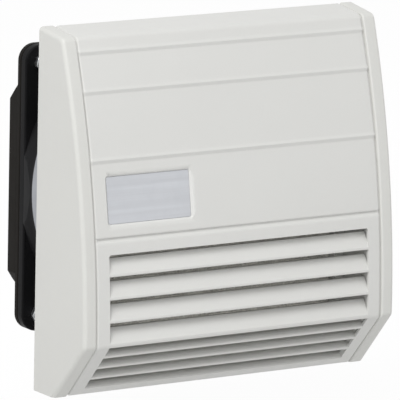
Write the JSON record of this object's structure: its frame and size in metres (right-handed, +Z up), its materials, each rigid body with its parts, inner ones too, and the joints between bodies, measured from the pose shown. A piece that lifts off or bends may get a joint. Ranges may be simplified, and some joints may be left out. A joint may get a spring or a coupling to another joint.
{
  "type": "cabinet filter fan",
  "caption": "Square filter fan for a cabinet door: bulged louvred cover that swings down over a filter mat, snap-in frame and a black axial fan behind a rear guard.",
  "frame": {"origin": "centre of the door cut-out, on the door's outer face where the frame's rear face rests", "axes": "+X right and +Z up as seen from the front, +Y into the cabinet"},
  "size_m": [0.1484, 0.0873, 0.1484],
  "materials": {
    "cover_grey": "satin moulded",
    "frame_grey": "satin moulded",
    "foam": "closed-cell foam",
    "fleece": "bonded fleece",
    "badge_silver": "fine silver",
    "fan_black": "black enamel",
    "label_silver": "silver film",
    "guard_black": "moulded",
    "zinc": "zinc plated",
    "tube_brass": "turned",
    "bearing_steel": "ground",
    "spring_steel": "plain",
    "lamination": "stacked sheet",
    "insulation": "moulded",
    "copper": "enamelled wire",
    "cap_black": "moulded",
    "terminal_ivory": "moulded",
    "tin": "tinned",
    "earth_brass": "plain",
    "impeller_black": "moulded",
    "rotor_steel": "drawn steel",
    "cage_metal": "die cast",
    "shaft_steel": "ground",
    "clip_steel": "blackened"
  },
  "bodies": {
    "housing": {"mounting_frame": "frame_grey", "door_gasket": "foam", "filter_mat": "fleece", "fan_frame": "fan_black", "side_label": "label_silver", "rear_guard": "guard_black", "fan_washers": "zinc", "fan_screws": "zinc", "bearing_tube": "tube_brass", "front_bearing": "bearing_steel", "rear_bearing": "bearing_steel", "preload_washer": "spring_steel", "stator_core": "lamination", "stator_insulators": "insulation", "windings": "copper", "bearing_cap": "cap_black", "terminal_block": "terminal_ivory", "terminal_tabs": "tin", "earth_screw": "earth_brass"},
    "cover": {"louvre_cover": "cover_grey", "badge_plate": "badge_silver"},
    "rotor": {"impeller": "impeller_black", "rotor_cup": "rotor_steel", "rotor_cage": "cage_metal", "shaft": "shaft_steel", "retaining_ring": "clip_steel"}
  },
  "joints": [
    {"name": "cover_hinge", "type": "hinge", "parent": "housing", "child": "cover", "pos_m": [0, -0.0028, -0.0714], "axis": [1, 0, 0], "range_deg": [0, 90]},
    {"name": "rotor_spin", "type": "hinge", "parent": "housing", "child": "rotor", "pos_m": [0, 0.02, 0], "axis": [0, 1, 0], "continuous": true}
  ]
}
